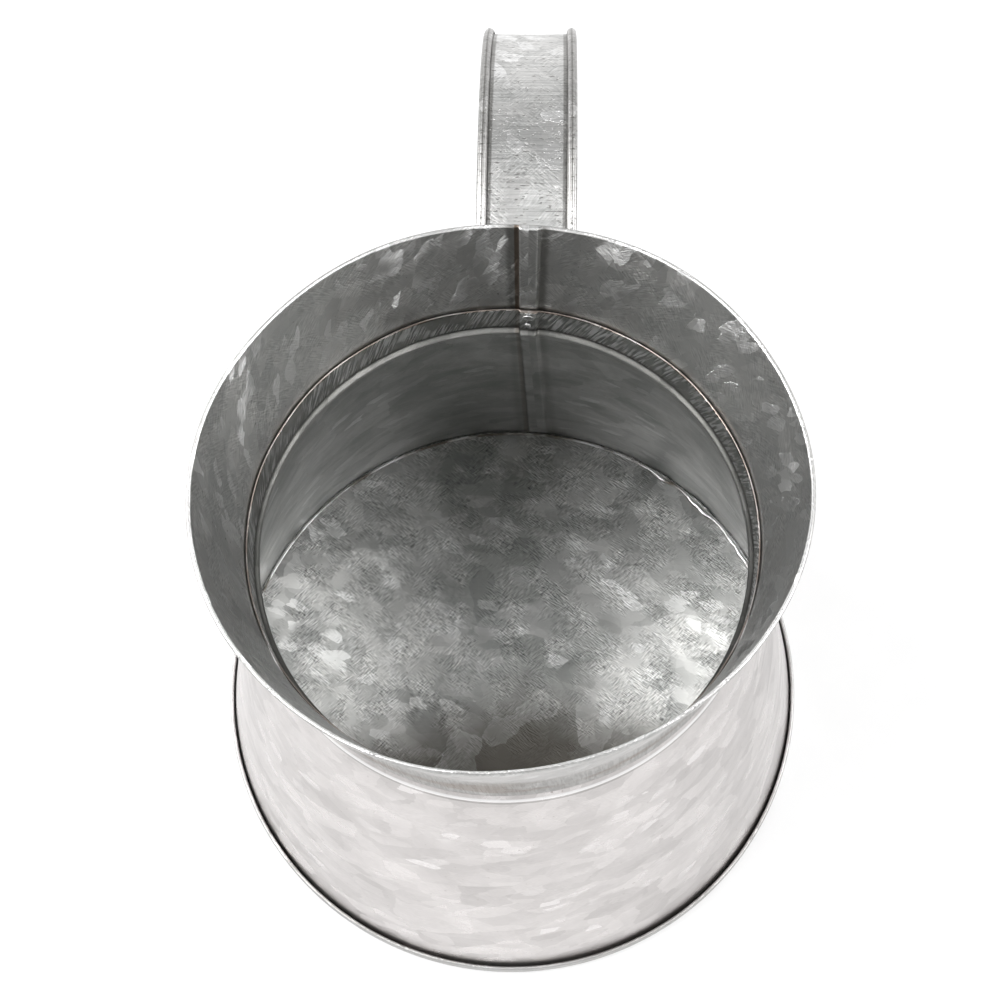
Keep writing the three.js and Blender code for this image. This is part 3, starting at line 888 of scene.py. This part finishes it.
def floor_details(g, inside, colour, height):
    """Green-grey painted shade along the middle, and brown stains where water stood, deepened as
    painted shade, most of all at the front.
    """
    x, y, z = (position(g, axis) for axis in "XYZ")
    across = g.math("ABSOLUTE", total(g, (1.0, x), (0.15, y), (-4.0, 1.0)))
    patches, _ = g.crystals(g.warped(g.laid(0.013, 0.011, 40, 5.5), 0.5))

    wandering = g.noise(g.laid(0.02, shift=3.0), detail=4.0)
    off_middle = g.rise(total(g, (1.0, across), (40.0, wandering), (-20.0, 1.0)), 8.0, 42.0)
    middle = g.math("SUBTRACT", 1.0, off_middle)
    uneven = g.math("MULTIPLY_ADD", patches, 0.4, 0.12)
    # Painted shade, green-grey, along the middle of the floor
    colour = g.blend(common(g, middle, uneven), colour, GREEN_PAINTED_SHADE)

    rough_edge = g.noise(g.laid(0.012, shift=1.9), detail=3.0)
    front = g.rise(total(g, (-1.0, y), (-0.3, across), (14.0, rough_edge)), -2.0, 34.0)
    patchy = g.math("MULTIPLY_ADD", g.rise(patches, 0.45, 0.6), 0.2, 0.75)
    # Brown stains where water stood, deepened as painted shade, at the front
    colour = g.blend(common(g, front, patchy), colour, BROWN_STAIN_AND_SHADE)
    return painted(g, colour, grey(0.5, 0.01), 0.8, g.rise(z, 1.2, 1.6)), height


def solder_finish():
    """Bright, pitted solder under a brown film of flux here and there."""
    g = Graph("solder")
    pits = g.noise(g.laid(0.0015), detail=4.0, roughness=0.6)
    film = g.rise(g.noise(g.laid(0.014, shift=1.1), detail=3.0), 0.4, 0.65)
    colour = g.blend(film, grey(0.7), FLUX)
    roughness = g.math("MULTIPLY_ADD", film, 0.25, 0.28)
    return g.finish(colour, roughness, pits, 0.0002)


def wire_finish():
    """Drawn steel wire, rusty in places."""
    g = Graph("edge_wire")
    drawn = g.noise(g.laid(0.0004, 0.02), detail=3.0)
    rust = g.rise(g.noise(g.laid(0.006, shift=2.0), detail=4.0), 0.5, 0.7)
    colour = g.blend(rust, grey(0.45), WIRE_RUST)
    roughness = g.math("MULTIPLY_ADD", rust, 0.3, 0.35)
    return g.finish(colour, roughness, drawn, 0.00005)


FINISHES = {
    "body_wall": galvanised(
        "galvanised_body", dark=0.38, light=0.8, flake=0.86, crystal=0.018,
        leaf=(0.007, 0.0035), leaf_angle=12, leaf_share=0.1, brushed=0.08, hatched=0.1,
        patina=0.5, rough=0.34, lean_big=0.05, lean_leaf=0.06, details=body_details,
    ),
    "collar": galvanised(
        "galvanised_collar", dark=0.6, light=0.93, flake=0.98, crystal=0.016,
        leaf=(0.0075, 0.0028), leaf_angle=60, leaf_share=0.3, brushed=0.05, hatched=0.3,
        patina=0.05, rough=0.42, lean_big=0.12, lean_leaf=0.34, details=collar_details,
    ),
    "bottom_disc": galvanised(
        "galvanised_floor", dark=0.46, light=0.9, flake=0.9, crystal=0.018,
        leaf=(0.007, 0.0035), leaf_angle=20, leaf_share=0.2, brushed=0.05, hatched=0.6,
        patina=0.1, rough=0.52, lean_big=0.055, lean_leaf=0.06, details=floor_details,
    ),
    "handle_strap": galvanised(
        "galvanised_handle", dark=0.46, light=0.84, flake=0.88, crystal=0.017,
        leaf=(0.008, 0.0045), leaf_angle=40, leaf_share=0.25, brushed=0.55, hatched=0.3,
        patina=0.15, rough=0.42, lean_big=0.05, lean_leaf=0.05, details=handle_details,
    ),
    "handle_wire": wire_finish(),
    "solder": solder_finish(),
}
for piece in bpy.context.scene.objects:
    if piece.type == "MESH" and piece.data.uv_layers.get("sheet"):
        finish = next(f for start, f in FINISHES.items() if piece.name.startswith(start))
        piece.data.materials.append(finish)


# ---- Studio ----

def pale_floor():
    """A floor that glows a little, so that it stays nearly white round the bucket."""
    g = Graph("studio_floor")
    grain = g.noise(g.node("TexCoord", output="Object"), 40.0)
    colour = g.blend(grain, grey(0.32), grey(0.36))
    return g.finish(colour, 0.8, grain, 0.0001, metallic=0.0, glow=0.58)


FLOOR_SIZE, FLOOR_DROP = 8, 0.0002
bpy.ops.mesh.primitive_plane_add(size=FLOOR_SIZE, location=(0, 0, -FLOOR_DROP))
floor = bpy.context.object
floor.name = "studio_floor"
floor.data.materials.append(pale_floor())


# The world's brightness falls between two heights, as the sine of the elevation
BRIGHT_UP_TO, DARK_FROM, DARKNESS, WORLD_STRENGTH = 0.62, 0.82, 0.1, 1.05
SOFTBOX_SIZE, SOFTBOX_SIDE, SOFTBOX_HEIGHT, AIM_HEIGHT = (0.6, 0.9), 0.75, 1.02, 0.1


def studio_world():
    """A bright band of light round the bucket, darker overhead."""
    world = bpy.data.worlds.new("studio")
    world.use_nodes = True
    tree = world.node_tree
    background = tree.nodes["Background"]
    coordinates = tree.nodes.new("ShaderNodeTexCoord")
    split = tree.nodes.new("ShaderNodeSeparateXYZ")
    ramp = tree.nodes.new("ShaderNodeValToRGB")
    tree.links.new(coordinates.outputs["Generated"], split.inputs[0])
    tree.links.new(split.outputs["Z"], ramp.inputs[0])
    tree.links.new(ramp.outputs[0], background.inputs["Color"])
    band_top, overhead = ramp.color_ramp.elements
    band_top.position, band_top.color = BRIGHT_UP_TO, grey(1.0)
    overhead.position, overhead.color = DARK_FROM, grey(DARKNESS)
    background.inputs["Strength"].default_value = WORLD_STRENGTH
    bpy.context.scene.world = world


def softbox(name, side, power):
    """A soft light high at one side, turned towards the bucket."""
    light = bpy.data.lights.new(name, "AREA")
    light.shape = "RECTANGLE"
    light.size, light.size_y = SOFTBOX_SIZE
    light.energy = power
    lamp = bpy.data.objects.new(name, light)
    lamp.location = Vector((side * SOFTBOX_SIDE, 0, SOFTBOX_HEIGHT))
    towards_bucket = Vector((0, 0, AIM_HEIGHT)) - lamp.location
    lamp.rotation_euler = towards_bucket.to_track_quat("-Z", "Y").to_euler()
    bpy.context.scene.collection.objects.link(lamp)


studio_world()
softbox("softbox_left", -1, 17)
softbox("softbox_right", 1, 11)

# The photograph's camera, found by laying the rims and the base over the picture
VIEW_AZIMUTH, VIEW_ELEVATION, VIEW_ROLL = 4.55, 64.58, -3.54
VIEW_DISTANCE = 0.36298
LENS, LENS_SHIFT = 50.4, (0.0014, -0.0268)


def camera_at(azimuth, elevation, roll, distance, target):
    """A camera that looks down at the target, with the bucket's handle away from it."""
    a, e = math.radians(azimuth), math.radians(elevation)
    forward = Vector((-math.sin(a) * math.cos(e), math.cos(a) * math.cos(e), -math.sin(e)))
    right = Vector((math.cos(a), math.sin(a), 0))
    view_turn = Matrix((right, right.cross(forward), -forward)).transposed().to_4x4()
    camera = bpy.data.objects.new("camera", bpy.data.cameras.new("camera"))
    place = Matrix.Translation(target - distance * forward)
    camera.matrix_world = place @ view_turn @ Matrix.Rotation(math.radians(roll), 4, "Z")
    bpy.context.scene.collection.objects.link(camera)
    return camera


rim_middle = Vector((0, 0, RIM_HEIGHT * MM))
camera = camera_at(VIEW_AZIMUTH, VIEW_ELEVATION, VIEW_ROLL, VIEW_DISTANCE, rim_middle)
camera.data.lens = LENS
camera.data.clip_start = 0.01
camera.data.shift_x, camera.data.shift_y = LENS_SHIFT
bpy.context.scene.camera = camera
bpy.context.scene.view_settings.view_transform = "Standard"
